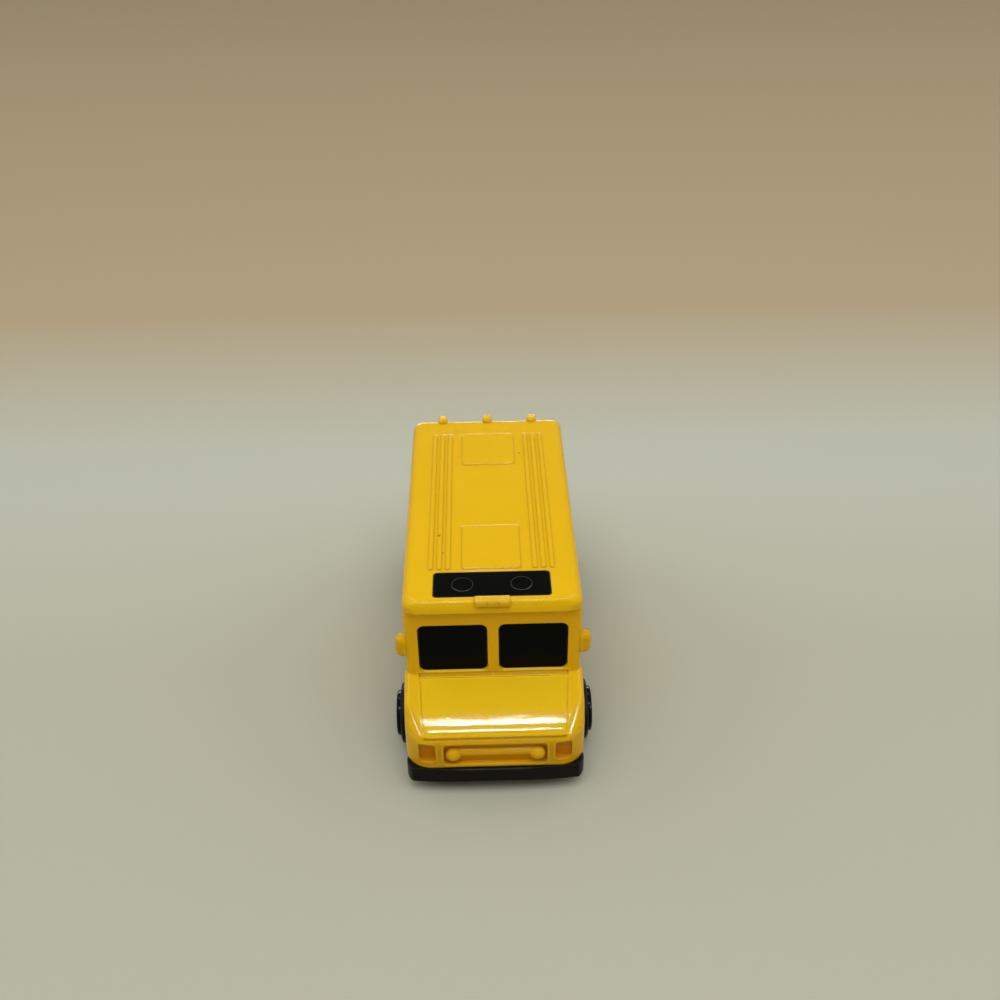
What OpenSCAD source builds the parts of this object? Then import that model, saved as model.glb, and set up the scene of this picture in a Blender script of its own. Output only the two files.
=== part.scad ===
// Die-cast toy step van: a cast body shell on a moulded base, with a window insert,
// two wire axles and four free-turning wheels.
// Millimetres. The front faces -Y, up is +Z and the wheels stand on z = 0.

/* [Overall] */
// Length over the two bumpers
overall_l = 70; // [66:0.5:76]
// Width of the cast body
body_w = 30.4; // [28:0.2:33]
// Height of the roof above the ground
roof_z = 35; // [33:0.5:39]
// Free height under the base
ground_gap = 2.6; // [2.2:0.1:3.6]

/* [Body shell] */
// Thickness of the cast walls
wall = 1.2; // [1:0.1:1.6]
// Rounding along the roof edges
roof_edge_r = 1.6; // [1:0.1:2]
// Corner radius of the roof at the brow, in plan
roof_corner_r = 2; // [1.8:0.1:3]
// Corner radius of the tail, in plan
tail_corner_r = 1.6; // [1:0.1:2.4]
// Corner radius of the windshield pillars, in plan
pillar_r = 1.2; // [0.6:0.1:1.6]
// Height of the brow above the windshield
brow_h = 2.4; // [2.2:0.1:3]
// How far the brow stands ahead of the windshield
brow_reach = 1; // [0.6:0.1:1.6]
// How far the tail stands inside the rear bumper
tail_inset = 0.65; // [0.4:0.05:1.2]
// Width of the cut seams
seam_w = 0.3; // [0.2:0.05:0.4]
// Depth of the cut seams
seam_depth = 0.2; // [0.15:0.05:0.4]

/* [Nose] */
// How far the nose face stands inside the front bumper
nose_inset = 0.7; // [0.4:0.05:1.2]
// Length of the nose from its face to the brow
nose_l = 9.2; // [8:0.1:10.5]
// Height of the front edge of the hood
nose_z = 13.1; // [12.6:0.1:14]
// Height of the hood where it meets the windshield
cowl_z = 18.2; // [17:0.1:18.6]
// How far the sides of the nose stand out from the cab
nose_flare = 0.4; // [0.1:0.05:0.5]
// Corner radius of the nose, in plan
nose_corner_r = 4.6; // [3.4:0.1:5.2]
// Rise of the crowned hood over a straight line from end to end
hood_crown = 0.3; // [0.1:0.05:0.6]
// Thickness of the walls of the nose
nose_wall = 1.8; // [1.4:0.1:2.2]
// Rounding along the front edge of the hood
nose_edge_r = 1.6; // [1:0.1:2]
// Rounding along the sides of the hood
hood_edge_r = 1.3; // [0.8:0.1:1.8]
// Height of the fender ends above the wheel arches
fender_rise = 1.2; // [0.8:0.1:2]
// Distance of the hood's side seams from the cab's sides
hood_seam_inset = 2.3; // [1.8:0.1:3]
// How far the hood's side seams turn inwards, in degrees
hood_seam_turn = 4; // [0:0.5:8]
// Distance from the hood's front edge to its side seams
hood_seam_end = 1; // [0.8:0.1:3]
// Height of the gap under the hood above the grille
hood_gap_rise = 1.1; // [0.9:0.1:1.3]
// Depth of the gap under the hood
hood_gap_depth = 0.35; // [0.25:0.05:0.6]
// Distance of the gap behind the hood from the foot of the windshield
hood_rear_set = 0.75; // [0.6:0.05:1.2]
// Radius of the hollow corner at the foot of the windshield
cowl_r = 0.5; // [0.35:0.05:0.6]

/* [Grille and lamps] */
// Width of the grille opening
grille_w = 17.8; // [16:0.2:18.4]
// Height of the grille opening
grille_h = 4.7; // [4:0.1:5]
// Height of the middle of the grille
grille_z = 8.9; // [8.7:0.1:9.3]
// Corner radius of the grille opening
grille_r = 0.7; // [0.4:0.1:1]
// Depth of the grille
grille_depth = 0.8; // [0.5:0.1:1]
// Height of the bar across the grille
bar_h = 1.8; // [1.4:0.1:2]
// Diameter of a head lamp
headlamp_d = 2.8; // [2.3:0.1:3.2]
// Distance of a head lamp from the end of the grille
headlamp_set = 0.25; // [0.15:0.05:0.8]
// How far the head lamps sit below the bar
headlamp_drop = 0.35; // [0:0.05:0.6]
// How far the head lamps stand out of the nose face
headlamp_proud = 0.6; // [0.2:0.05:0.65]
// Width of a corner lamp
corner_lamp_w = 2.8; // [2:0.1:3]
// Height of a corner lamp
corner_lamp_h = 4; // [3:0.1:4.4]
// Distance from the grille to a corner lamp
corner_lamp_gap = 1.4; // [1.1:0.1:2]
// How far the corner lamps sit above the middle of the grille
corner_lamp_rise = 0.5; // [0.2:0.1:0.8]
// Width of the raised frames around the grille and the corner lamps
bezel_w = 0.45; // [0.3:0.05:0.6]
// How far those frames stand out of the nose
bezel_proud = 0.15; // [0.1:0.05:0.25]
// Depth of the corner lamps
corner_lamp_depth = 1.1; // [0.8:0.1:1.2]

/* [Windows] */
// Width of one windshield pane
pane_w = 11.9; // [10:0.1:12]
// Height of the windshield panes
pane_h = 10.5; // [9.3:0.1:10.8]
// Corner radius of the windshield panes
pane_r = 1.2; // [0.8:0.1:1.8]
// Width of the pillar between the panes
mullion_w = 1.9; // [1.6:0.1:2.6]
// Height of the lower pane edge above the cowl
pane_sill = 0.55; // [0.45:0.05:1]
// How deep the panes sit in their openings
pane_recess = 0.45; // [0.2:0.05:0.6]
// Height of the side panes
side_pane_h = 9.2; // [8:0.1:9.6]
// Corner radius of the side panes
side_pane_r = 0.8; // [0.5:0.1:1.2]
// Width of the quarter window ahead of the door
quarter_pane_w = 3.2; // [2.6:0.2:3.6]
// Distance from the windshield wall to the quarter window
quarter_set = 0.6; // [0.4:0.1:1]
// Width of the door window
door_pane_w = 5.4; // [4.6:0.2:6]
// Width of the door around its window
door_margin = 1.5; // [1:0.1:2]
// Distance from the quarter window to the door
door_set = 1.1; // [0.8:0.1:1.6]
// Thickness of the window insert
insert_t = 0.9; // [0.7:0.1:1.2]
// Diameter of the studs that hold the insert
stud_d = 1.6; // [1.2:0.1:2]
// Distance of the studs from the centre line
stud_x = 5.5; // [4:0.1:7]

/* [Roof] */
// Width of the black roof panel
panel_w = 20; // [17:0.2:21]
// Length of the black roof panel
panel_l = 6.8; // [6:0.1:7.2]
// Corner radius of the roof panel
panel_r = 0.7; // [0.4:0.1:1.2]
// Distance from the brow to the roof panel
panel_set = 1.4; // [1.2:0.1:2]
// Diameter of the two round marks in the roof panel
mark_d = 3.5; // [2.5:0.1:4.5]
// Distance of the marks from the centre line
mark_x = 5; // [4:0.1:6]
// Depth of the marks
mark_depth = 0.15; // [0.1:0.05:0.3]
// Ribs on each side of the roof
rib_count = 3; // [2:1:3]
// Distance from rib to rib
rib_pitch = 1.5; // [1.3:0.05:1.6]
// Distance of the outermost ribs from the centre line
rib_outer_x = 10.5; // [9.8:0.1:11]
// Width of a rib
rib_w = 0.8; // [0.6:0.05:0.9]
// Height of the ribs and the roof hatches
rib_h = 0.3; // [0.2:0.05:0.5]
// Distance from the roof panel to the ribs
rib_set = 0.6; // [0.4:0.1:1.4]
// Distance from the tail to the ribs
rib_end = 6.3; // [5:0.1:8]
// Width of a roof hatch
hatch_w = 10.2; // [8:0.2:10.8]
// Length of the front roof hatch
hatch_l = 12.7; // [10:0.1:13]
// Length of the rear roof hatch
rear_hatch_l = 11.4; // [10:0.1:12.6]
// Corner radius of a roof hatch
hatch_r = 0.6; // [0.4:0.1:1]
// Spacing of the three rear marker lamps
marker_pitch = 9.1; // [7.5:0.1:10]
// Width of a rear marker lamp
marker_w = 1.9; // [1.4:0.1:2.4]
// Length of a rear marker lamp
marker_l = 2.2; // [1.8:0.1:2.6]
// Height of the marker lamps above the roof
marker_h = 0.8; // [0.6:0.05:1]
// Spacing of the three lamps on the brow
cluster_pitch = 1.9; // [1.75:0.05:2.1]
// Length of a lamp on the brow
cluster_l = 1.8; // [1.5:0.1:2.2]
// How far the brow lamps stand ahead of the brow
cluster_reach = 0.45; // [0.3:0.05:0.7]
// Height of the brow lamps above the roof
cluster_h = 0.6; // [0.4:0.05:0.8]
// How far each brow lamp runs into the next
cluster_overlap = 0.45; // [0.3:0.05:0.6]

/* [Cast side detail] */
// How far a mirror stands out of the cab
mirror_w = 1.65; // [1.4:0.05:2]
// Thickness of a mirror
mirror_t = 2.4; // [2:0.1:2.8]
// Height of a mirror
mirror_h = 4.6; // [3.6:0.1:5.2]
// Height of the mirrors above the middle of the panes
mirror_rise = 0.2; // [-0.5:0.1:1]
// Height of a rub rail
rail_h = 0.9; // [0.6:0.1:1.2]
// How far the rub rails stand out
rail_proud = 0.25; // [0.15:0.05:0.4]
// Distance from the load space's rub rails to the door, the arches and the roof
rail_set = 1.4; // [1:0.1:2]
// Height from the arches to the foot of the side doors
door_foot = 0.7; // [0.4:0.1:1.2]
// Distance from the brow to the head of the side doors
door_head = 0.5; // [0.3:0.1:1]
// Distance of the rear doors from the sides of the body
tail_door_set = 3; // [2.6:0.1:4]
// Distance of the rear doors from the bumper
tail_door_foot = 1.9; // [1.4:0.1:2.4]
// Distance of the rear doors from the brow's lower edge
tail_door_head = 0.7; // [0.4:0.1:1.2]
// Width of a door hinge
hinge_w = 1.6; // [1.2:0.1:2]
// Height of a door hinge
hinge_h = 1; // [0.8:0.1:1.4]
// Distance of the end hinges from the ends of the rear doors
hinge_set = 3.4; // [2.4:0.2:5]
// Width of the door handle
handle_w = 0.7; // [0.6:0.1:1]
// Height of the door handle
handle_h = 3.4; // [2.6:0.2:4.4]
// Distance of the door handle from the centre line
handle_x = 0.9; // [0.7:0.1:1.4]
// Width of a tail lamp
tail_lamp_w = 1.6; // [1.2:0.1:2]
// Height of a tail lamp
tail_lamp_h = 3; // [2:0.1:4]
// How far the lamps and hinges of the tail stand out
tail_proud = 0.4; // [0.2:0.05:0.6]

/* [Running gear] */
// Diameter of a tyre
tyre_d = 11; // [10:0.1:11.6]
// Width of a tyre
tyre_w = 3.1; // [2.7:0.1:3.3]
// Rounding of the tyre's shoulders
tyre_edge_r = 0.6; // [0.3:0.05:0.8]
// How far the inner face of a tyre sits inside the body's side
tyre_set = 1.5; // [1.3:0.1:1.7]
// Diameter of the wheel disc that stands out of the tyre
disc_d = 8.2; // [7.4:0.1:8.6]
// How far the disc stands out of the tyre
disc_proud = 0.8; // [0.6:0.05:1]
// Thickness of the disc's inner flange, and its height over the tyre's seat
rim_flange = 0.3; // [0.2:0.05:0.4]
// Width of the raised rim of the disc's face
rim_w = 0.8; // [0.6:0.1:1]
// Thickness of the hub around the axle head
hub_wall = 0.6; // [0.4:0.05:0.8]
// Depth of the dished ring in the disc's face
dish_depth = 0.45; // [0.3:0.05:0.6]
// Diameter of the six dimples in the dished ring
dimple_d = 1; // [0.7:0.1:1.1]
// Depth of the dimples below the dished ring
dimple_depth = 0.55; // [0.3:0.05:0.8]
// Diameter of the axle wire
axle_d = 1.2; // [1:0.05:1.5]
// Diameter of the flattened axle ends
axle_head_d = 2; // [1.8:0.05:2.4]
// Thickness of the flattened axle ends
axle_head_t = 0.4; // [0.3:0.05:0.5]
// How far the axle ends sit inside the disc's face
axle_head_set = 0.25; // [0.1:0.05:0.4]
// Distance from the front bumper to the front axle
front_overhang = 14.6; // [14:0.1:15.5]
// Distance between the axles
wheelbase = 38.4; // [36:0.2:41]

/* [Base] */
// Width of the base over the bumpers
base_w = 30.9; // [30.6:0.1:32]
// Length of a bumper
bumper_l = 3.6; // [3.4:0.1:4.4]
// How far the middle of a bumper stands ahead of its ends
bumper_bow = 0.9; // [0.2:0.05:1.4]
// How far the side sills stand inside the body's sides
sill_inset = 0.2; // [0.1:0.05:0.4]
// Height of the bumpers
bumper_h = 3.2; // [2.5:0.1:3.6]
// Corner radius of the bumpers, in plan
bumper_r = 3; // [2:0.1:3.2]
// Rounding along the outer edges of the base
base_edge_r = 0.5; // [0.3:0.05:0.8]
// Thickness of the floor of the base
floor_t = 1.2; // [1:0.1:1.4]
// Thickness of the walls around the wheel wells
well_wall = 1.4; // [1.2:0.1:1.6]
// Thickness and height of the lip that locates the body
lip_t = 1; // [0.8:0.1:1.2]
// Corner radius of the pocket inside the base
pocket_r = 0.8; // [0.6:0.1:1.2]
// Width of an axle tower
tower_w = 3.4; // [2.6:0.1:4]
// Length of an axle tower
tower_l = 4.4; // [3.6:0.1:5]
// Mouth of the axle seats as a share of the wire
snap_share = 0.84; // [0.75:0.01:0.9]
// Width of the frame rails that stand between the fields of the underside
frame_rail_w = 2.5; // [2:0.1:3]
// Corner radius of the fields
field_r = 0.8; // [0.5:0.1:1.2]
// Depth of the moulded fields in the underside
field_depth = 0.4; // [0.2:0.05:0.5]
// Diameter of the two posts that take the rivets
post_d = 4.4; // [3.8:0.1:5]
// Distance from the nose's wall to the front post
front_post_set = 1; // [0.4:0.1:1.6]
// Distance from the tail's wall to the rear post
rear_post_set = 0.4; // [0.2:0.1:1]
// Thickness of the bosses around the rivet heads
boss_wall = 1.5; // [1.2:0.1:1.8]
// Diameter of a rivet
rivet_d = 2; // [1.6:0.1:2.2]
// Diameter of a rivet head
rivet_head_d = 3.8; // [3.2:0.1:4.4]
// Height of a rivet head
rivet_head_h = 0.8; // [0.6:0.1:0.9]
// How deep the rivet heads sit in the base
rivet_set = 0.2; // [0.1:0.05:0.4]
// How far a rivet reaches into its post
rivet_grip = 4; // [3:0.1:5]

/* [Clearances] */
// Radial clearance of each turning fit
running_gap = 0.05; // [0.03:0.01:0.1]
// Clearance between pieces that fit into each other
fit_gap = 0.1; // [0.05:0.01:0.15]
// Clearance between the tyres and the wheel arches
arch_gap = 0.8; // [0.6:0.1:1]
// Side play of the wheels
side_gap = 0.3; // [0.2:0.05:0.4]

/* [Hidden] */
$fn = 64;
// How far a cutting or joining solid runs past the face it meets
over = 0.5;

// Stations along the van, front to rear
front_y = -overall_l/2;
rear_y = overall_l/2;
nose_y = front_y + nose_inset;
brow_y = nose_y + nose_l;
screen_y = brow_y + brow_reach;
cab_y = screen_y + wall;
tail_y = rear_y - tail_inset;
back_y = tail_y - wall;
front_axle_y = front_y + front_overhang;
rear_axle_y = front_axle_y + wheelbase;
axle_ys = [front_axle_y, rear_axle_y];
front_post_y = nose_y + nose_wall + front_post_set + post_d/2;
rear_post_y = back_y - rear_post_set - post_d/2;
post_ys = [front_post_y, rear_post_y];

// Heights
sill_z = ground_gap + bumper_h;
brow_z = roof_z - brow_h;
ceiling_z = roof_z - wall;
pane_z = cowl_z + pane_sill + pane_h/2;
axle_z = tyre_d/2;
arch_r = tyre_d/2 + arch_gap;
arch_z = axle_z + arch_r;

// Half widths
half_w = body_w/2;
inner_x = half_w - wall;
nose_x = half_w + nose_flare;
tyre_in_x = half_w - tyre_set;
tyre_out_x = tyre_in_x + tyre_w;
disc_in_x = tyre_in_x - rim_flange;
disc_x = tyre_out_x + disc_proud;
well_x = disc_in_x - side_gap;
seat_r = disc_d/2 - rim_flange;

// Layout of the roof and the side windows
panel_y = brow_y + panel_set + panel_l/2;
rib_front_y = panel_y + panel_l/2 + rib_set;
rib_rear_y = tail_y - rib_end;
rib_l = rib_rear_y - rib_front_y;
quarter_y = cab_y + quarter_set + quarter_pane_w/2;
door_w = door_pane_w + 2*door_margin;
door_y = quarter_y + quarter_pane_w/2 + door_set + door_w/2;
insert_y = door_y + door_w/2;
stud_y = panel_y + panel_l/2 + insert_t + stud_d/2;

// Small shape helpers

// Rounded rectangle about the origin
module round_rect(w, h, r) {
    square([w - 2*r, h], center = true);
    square([w, h - 2*r], center = true);
    for (sx = [-1, 1], sy = [-1, 1])
        translate([sx*(w/2 - r), sy*(h/2 - r)]) circle(r);
}

// Extrudes a (y, z) outline along X, and an (x, z) outline along Y
module along_x(w) rotate([90, 0, 90]) linear_extrude(w, center = true) children();
module along_y(l) rotate([90, 0, 0]) linear_extrude(l, center = true) children();

// Block about the origin with rounded corners in plan and rounded edges above and below
module soft_block(w, l, h, corner_r, edge_r) {
    intersection() {
        linear_extrude(h + 1, center = true) round_rect(w, l, corner_r);
        along_x(w + 1) round_rect(l, h, edge_r);
        along_y(l + 1) round_rect(w, h, edge_r);
    }
}

// Pad that stands h above z = 0 and is rooted below it
module soft_pad(w, l, h, corner_r, edge_r) {
    translate([0, 0, h - (h + over)/2]) soft_block(w, l, h + over, corner_r, edge_r);
}

// Solid of revolution about the X axis from an outline of (radius, x)
module about_x() rotate([0, 90, 0]) rotate_extrude() children();

// Body shell

// Plan of the body from one station to another, with its own front and rear corners
module body_plan(y0, y1, r0, r1) {
    mid = (y0 + y1)/2;
    for (end = [[y0, r0, 1], [y1, r1, -1]]) {
        r = end[1];
        l = mid - y0;
        translate([0, end[0] + end[2]*l/2]) square([body_w - 2*r, l], center = true);
        translate([0, end[0] + end[2]*(l + r)/2]) square([body_w, l - r], center = true);
        for (s = [-1, 1]) translate([s*(half_w - r), end[0] + end[2]*r]) circle(r);
    }
}

// Outline across the brow, from the roof to its rolled outer edge
module roof_roll(reach) {
    intersection() {
        square([reach, brow_h]);
        union() {
            square([reach, brow_h - roof_edge_r]);
            square([reach - roof_edge_r, brow_h]);
            translate([reach - roof_edge_r, brow_h - roof_edge_r]) circle(roof_edge_r);
        }
    }
}

// Roof with its brow: the roll along its upper edges runs on round all four corners
module roof_cap() {
    r0 = max(roof_corner_r, roof_edge_r + over);
    r1 = max(tail_corner_r, roof_edge_r + over);
    l = tail_y - brow_y - r0 - r1;
    translate([0, 0, brow_z]) {
        for (turn = [0, 180]) translate([0, brow_y + r0 + l/2, 0]) rotate(turn) along_y(l) roof_roll(half_w);
        translate([0, brow_y + r0, 0]) rotate(-90) along_y(2*(half_w - r0)) roof_roll(r0);
        translate([0, tail_y - r1, 0]) rotate(90) along_y(2*(half_w - r1)) roof_roll(r1);
        for (s = [0, 1]) {
            translate([(2*s - 1)*(half_w - r0), brow_y + r0, 0]) rotate(180 + 90*s)
                rotate_extrude(angle = 90) roof_roll(r0);
            translate([(2*s - 1)*(half_w - r1), tail_y - r1, 0]) rotate(90 - 90*s)
                rotate_extrude(angle = 90) roof_roll(r1);
        }
    }
}

// Box of the cab and load space below the brow
module lower_body() {
    translate([0, 0, sill_z]) linear_extrude(brow_z + over - sill_z)
        body_plan(screen_y, tail_y, pillar_r, tail_corner_r);
}

// Where the hood leaves the rounded front edge, and its crowned height at a station
front_slope = atan((cowl_z - nose_z)/(screen_y - nose_y));
hood_y = nose_y + nose_edge_r*(1 - sin(front_slope));
hood_start_z = nose_z - nose_edge_r*(1 - cos(front_slope));
function hood_z(y) = let (t = (y - hood_y)/(screen_y - hood_y))
    hood_start_z + t*(cowl_z - hood_start_z) + 4*hood_crown*t*(1 - t);

// Where the front fenders run out at the doors
fender_y = door_y - door_w/2 - seam_w - hood_edge_r;
fender_z = arch_z + fender_rise;

// Soft sloping nose, drawn over two round front corners, the stations of the hood and the fender ends
module nose() {
    core_r = nose_corner_r - nose_edge_r;
    hood_x = nose_x - hood_edge_r;
    steps = 4;
    hull() for (s = [-1, 1]) {
        translate([s*(nose_x - nose_corner_r), nose_y + nose_corner_r, 0]) rotate_extrude($fn = 48) {
            translate([0, sill_z]) square([nose_corner_r, 1]);
            translate([0, sill_z]) square([core_r, nose_z - sill_z]);
            translate([core_r, nose_z - nose_edge_r]) circle(nose_edge_r, $fn = 32);
        }
        for (i = [2 : steps]) {
            y = hood_y + i*(cab_y - hood_y)/steps;
            translate([s*hood_x, y, hood_z(y) - hood_edge_r]) sphere(hood_edge_r, $fn = 32);
        }
        translate([s*hood_x, fender_y, fender_z - hood_edge_r]) sphere(hood_edge_r, $fn = 32);
        translate([s*hood_x, fender_y, sill_z]) cylinder(h = 1, r = hood_edge_r, $fn = 32);
    }
}

// Hollow corner between the hood and the foot of the windshield
module cowl() {
    z = cowl_z + 0.6*cowl_r;
    along_x(2*inner_x) difference() {
        polygon([
            [screen_y + over, z],
            [screen_y + over, cowl_z - cowl_r],
            [screen_y - cowl_r, hood_z(screen_y - cowl_r) - over]]);
        translate([screen_y - cowl_r, z + 0.05]) circle(cowl_r);
    }
}

// Plan of the nose face and its corners, grown by a distance
module nose_plan(grow) {
    r = nose_corner_r + grow;
    w = 2*(nose_x + grow);
    translate([0, nose_y - grow]) {
        translate([0, 2*r]) square([w, 2*r], center = true);
        translate([0, r]) square([w - 2*r, 2*r], center = true);
        for (s = [-1, 1]) translate([s*(w/2 - r), r]) circle(r);
    }
}

// Outlines of the grille and the two corner lamps on the nose face, grown by a distance
module nose_recesses(grow) {
    translate([0, grille_z]) round_rect(grille_w + 2*grow, grille_h + 2*grow, grille_r + grow);
    for (s = [-1, 1]) translate([s*corner_lamp_x, grille_z + corner_lamp_rise])
        round_rect(corner_lamp_w + 2*grow, corner_lamp_h + 2*grow, grille_r + grow);
}

// Raised frames that follow the nose round its corners
module nose_bezels() {
    intersection() {
        translate([0, nose_y, 0]) along_y(2*nose_corner_r) difference() {
            nose_recesses(bezel_w);
            nose_recesses(0);
        }
        translate([0, 0, sill_z]) linear_extrude(nose_z - sill_z) nose_plan(bezel_proud);
    }
}

// Inside of the casting, open at the sill
module cavity() {
    front = nose_y + nose_wall;
    translate([-inner_x, cab_y, sill_z - over]) cube([2*inner_x, back_y - cab_y, ceiling_z - sill_z + over]);
    along_x(2*(nose_x - nose_wall)) polygon([
        [front, sill_z - over],
        [front, nose_z - nose_wall - nose_edge_r/2],
        [front + nose_edge_r, hood_z(front + nose_edge_r) - nose_wall],
        [cab_y + over, hood_z(cab_y + over) - nose_wall],
        [cab_y + over, sill_z - over]]);
}

// Posts that come down to the base, and the studs that hold the window insert
module posts() {
    translate([0, front_post_y, sill_z]) cylinder(h = cowl_z - sill_z, d = post_d);
    translate([0, rear_post_y, sill_z]) cylinder(h = ceiling_z + over - sill_z, d = post_d);
    translate([-wall/2, rear_post_y, sill_z + bumper_h])
        cube([wall, tail_y - rear_post_y - over, ceiling_z - sill_z - bumper_h]);
    for (s = [-1, 1]) translate([s*stud_x, stud_y, ceiling_z - 2*insert_t])
        cylinder(h = 2*insert_t + over, d = stud_d);
}

// Windshield, side and roof openings; gap shrinks them into the panes that fill them
module screen_panes(gap) {
    for (s = [-1, 1]) translate([s*(mullion_w + pane_w)/2, pane_z])
        round_rect(pane_w - 2*gap, pane_h - 2*gap, pane_r);
}
module side_panes(gap) {
    translate([quarter_y, pane_z]) round_rect(quarter_pane_w - 2*gap, side_pane_h - 2*gap, side_pane_r);
    translate([door_y, pane_z]) round_rect(door_pane_w - 2*gap, side_pane_h - 2*gap, side_pane_r);
}
module roof_opening(gap) {
    translate([0, panel_y]) round_rect(panel_w - 2*gap, panel_l - 2*gap, panel_r);
}

module body_openings() {
    translate([0, screen_y, 0]) along_y(2*wall + 1) screen_panes(0);
    for (s = [-1, 1]) translate([s*half_w, 0, 0]) along_x(2*wall + 1) side_panes(0);
    translate([0, 0, ceiling_z - insert_t]) linear_extrude(insert_t + wall + 1) roof_opening(0);
    for (y = axle_ys, s = [-1, 1]) translate([s*half_w, y, axle_z])
        rotate([0, 90, 0]) cylinder(h = 2*(half_w - well_x), r = arch_r, center = true);
    for (y = post_ys) translate([0, y, sill_z - over]) cylinder(h = rivet_grip + 2*over, d = rivet_d);
}

// Recesses of the nose face and the seams around the hood
module nose_cuts() {
    translate([0, nose_y, grille_z]) along_y(2*grille_depth) round_rect(grille_w, grille_h, grille_r);
    translate([0, 0, hood_gap_z]) linear_extrude(seam_w) intersection() {
        translate([0, nose_y]) square([2*nose_x, nose_corner_r], center = true);
        difference() {
            nose_plan(over);
            nose_plan(-hood_gap_depth);
        }
    }
    for (s = [-1, 1]) {
        translate([s*corner_lamp_x, nose_y, grille_z + corner_lamp_rise])
            along_y(2*corner_lamp_depth) round_rect(corner_lamp_w, corner_lamp_h, grille_r);
        hood_seam(s);
    }
    rear_y = screen_y - hood_rear_set;
    translate([0, rear_y, hood_z(rear_y)]) rotate([front_slope, 0, 0])
        cube([2*(half_w - hood_seam_inset), seam_w, 2*seam_depth], center = true);
}
corner_lamp_x = grille_w/2 + corner_lamp_gap + corner_lamp_w/2;
hood_gap_z = grille_z + grille_h/2 + hood_gap_rise;

// Side seam of the hood, an even depth below its crown
module hood_seam(s) {
    y0 = nose_y + hood_seam_end;
    steps = 8;
    ys = [for (i = [0 : steps]) y0 + i*(screen_y - y0)/steps];
    top = [for (y = ys) [y, hood_z(y) + over]];
    foot = [for (i = [steps : -1 : 0]) [ys[i], hood_z(ys[i]) - seam_depth]];
    translate([s*(half_w - hood_seam_inset), screen_y, 0]) rotate([0, 0, -s*hood_seam_turn])
        translate([0, -screen_y, 0]) along_x(seam_w) polygon(concat(top, foot));
}

// Bar across the grille and the head lamps at its ends
module grille_bar() {
    root_y = nose_y + grille_depth + over;
    headlamp_x = grille_w/2 - headlamp_d/2 - headlamp_set;
    reach = grille_depth + over;
    lamp_dome_r = headlamp_d/2 + 0.15;
    translate([0, root_y, grille_z]) along_x(2*headlamp_x) round_rect(2*reach - 0.2, bar_h, bar_h/2 - 0.1);
    for (s = [-1, 1]) translate([s*headlamp_x, root_y, grille_z - headlamp_drop]) rotate([90, 0, 0])
        intersection() {
            cylinder(h = 2*reach, d = headlamp_d);
            translate([0, 0, reach + headlamp_proud - lamp_dome_r]) sphere(lamp_dome_r);
        }
}

// Cast detail that stands on the roof
module roof_detail() {
    for (i = [0 : rib_count - 1], s = [-1, 1])
        translate([s*(rib_outer_x - i*rib_pitch), rib_front_y + rib_l/2, roof_z])
            soft_pad(rib_w, rib_l, rib_h, rib_w/2 - 0.02, rib_h/2);
    translate([0, rib_front_y + hatch_l/2, roof_z]) soft_pad(hatch_w, hatch_l, rib_h, hatch_r, rib_h/2);
    translate([0, rib_rear_y - rear_hatch_l/2, roof_z])
        soft_pad(hatch_w, rear_hatch_l, rib_h, hatch_r, rib_h/2);
    for (i = [-1, 0, 1]) {
        translate([i*marker_pitch, tail_y + 0.2 - marker_l/2, roof_z])
            soft_pad(marker_w, marker_l, marker_h, marker_w*0.4, marker_w*0.4);
        translate([i*cluster_pitch, cluster_y, roof_z + cluster_h - cluster_t/2])
            soft_block(cluster_pitch + cluster_overlap, cluster_l, cluster_t, 0.7, 0.7);
    }
}
cluster_y = brow_y - cluster_reach + cluster_l/2;
cluster_t = 2*cluster_h + over;

// Mirrors, cast as lumps on the windshield pillars
module mirrors() {
    end = (mirror_h - mirror_t)/2;
    for (s = [-1, 1]) translate([s*(half_w + mirror_w - mirror_t/2), cab_y, pane_z + mirror_rise])
        rotate_extrude() intersection() {
            translate([0, -mirror_h/2]) square([mirror_t, mirror_h]);
            union() {
                square([mirror_t, 2*end], center = true);
                for (z = [-end, end]) translate([0, z]) circle(d = mirror_t);
            }
        }
}

// Rub rails along the load space
module side_rails() {
    y0 = insert_y + rail_set;
    y1 = tail_y - tail_corner_r;
    w = 2*rail_proud + over;
    for (s = [-1, 1], z = [arch_z + rail_set, brow_z - rail_set])
        translate([s*(half_w + rail_proud - w/2), (y0 + y1)/2, z]) soft_block(w, y1 - y0, rail_h, 0.25, 0.25);
}

// Seams of the side doors and the rear doors
module seam_frame(w, h, r) {
    difference() {
        round_rect(w, h, r);
        round_rect(w - 2*seam_w, h - 2*seam_w, r - seam_w);
    }
}
module seams() {
    z0 = arch_z + door_foot;
    z1 = brow_z - door_head;
    for (s = [-1, 1]) translate([s*half_w, door_y, (z0 + z1)/2])
        along_x(2*seam_depth) seam_frame(door_w, z1 - z0, side_pane_r);
    translate([0, tail_y, tail_mid_z]) {
        along_y(2*seam_depth) seam_frame(tail_door_w, tail_door_h, side_pane_r);
        cube([seam_w, 2*seam_depth, tail_door_h], center = true);
    }
}
tail_door_w = body_w - 2*tail_door_set;
tail_door_h = brow_z - tail_door_head - sill_z - tail_door_foot;
tail_mid_z = sill_z + tail_door_foot + tail_door_h/2;

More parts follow.
